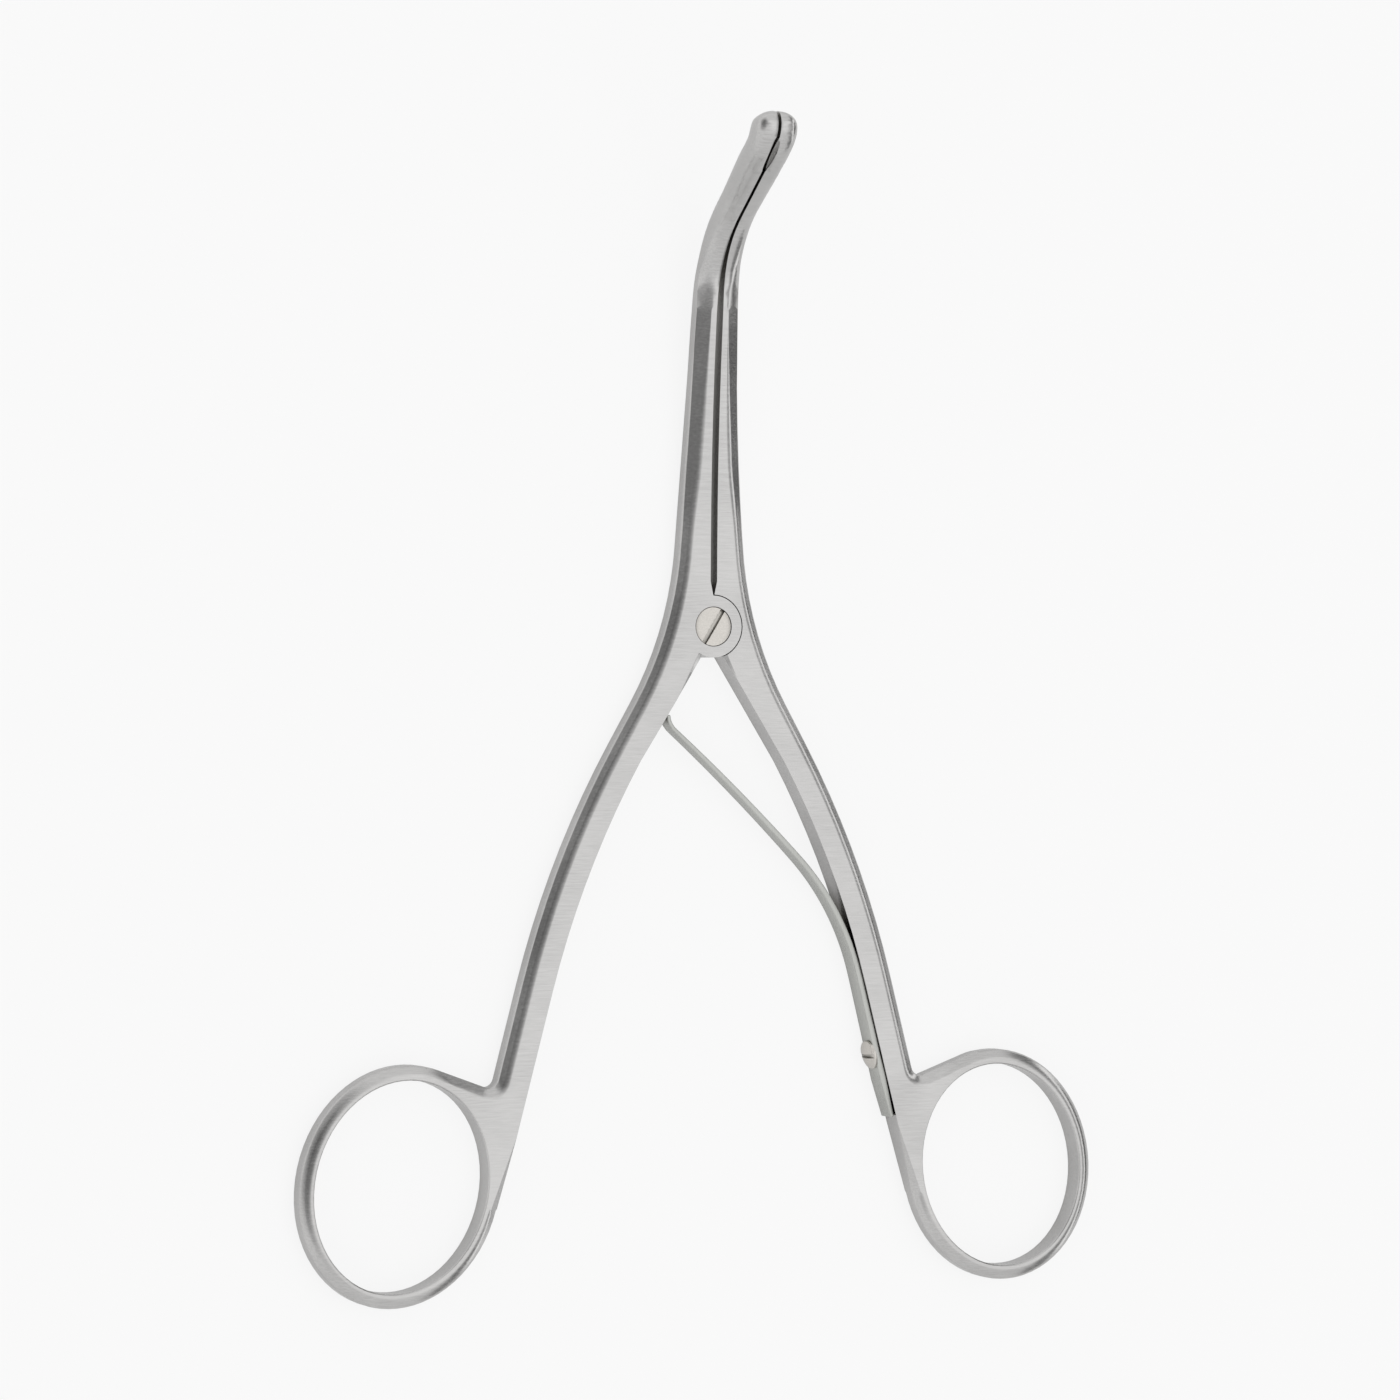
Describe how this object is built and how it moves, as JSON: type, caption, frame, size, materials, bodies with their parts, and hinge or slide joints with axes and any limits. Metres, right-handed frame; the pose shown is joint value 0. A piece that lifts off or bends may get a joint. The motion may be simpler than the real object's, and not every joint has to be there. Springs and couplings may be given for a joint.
{
  "type": "tracheal dilator",
  "caption": "Hand-held tracheal dilator: two bent blades on finger-ring levers, half-lap pivot and leaf spring; squeezing the rings spreads the blades.",
  "frame": {"origin": "on the pivot axis, in the plane of the levers' back faces, at the end of the pivot screw", "axes": "+Y to the blade tips, +Z to the front, where the bent blades point, +X to the right seen from the front"},
  "size_m": [0.1042, 0.1396, 0.0204],
  "materials": {
    "lever_steel": "satin ground stainless steel",
    "screw_steel": "polished stainless steel",
    "spring_steel": "satin spring steel"
  },
  "bodies": {
    "right_half": {"right_lever": "lever_steel", "pivot_screw": "screw_steel", "leaf_spring": "spring_steel", "spring_screw": "screw_steel"},
    "left_half": {"left_lever": "lever_steel"}
  },
  "joints": [
    {"name": "handle_squeeze", "type": "hinge", "parent": "right_half", "child": "left_half", "pos_m": [0, 0, 0.0015], "axis": [0, 0, 1], "range_deg": [0, 41], "stiffness_Nm_per_rad": 0.35, "springref_deg": -14.32, "deforming": ["leaf_spring"]}
  ]
}
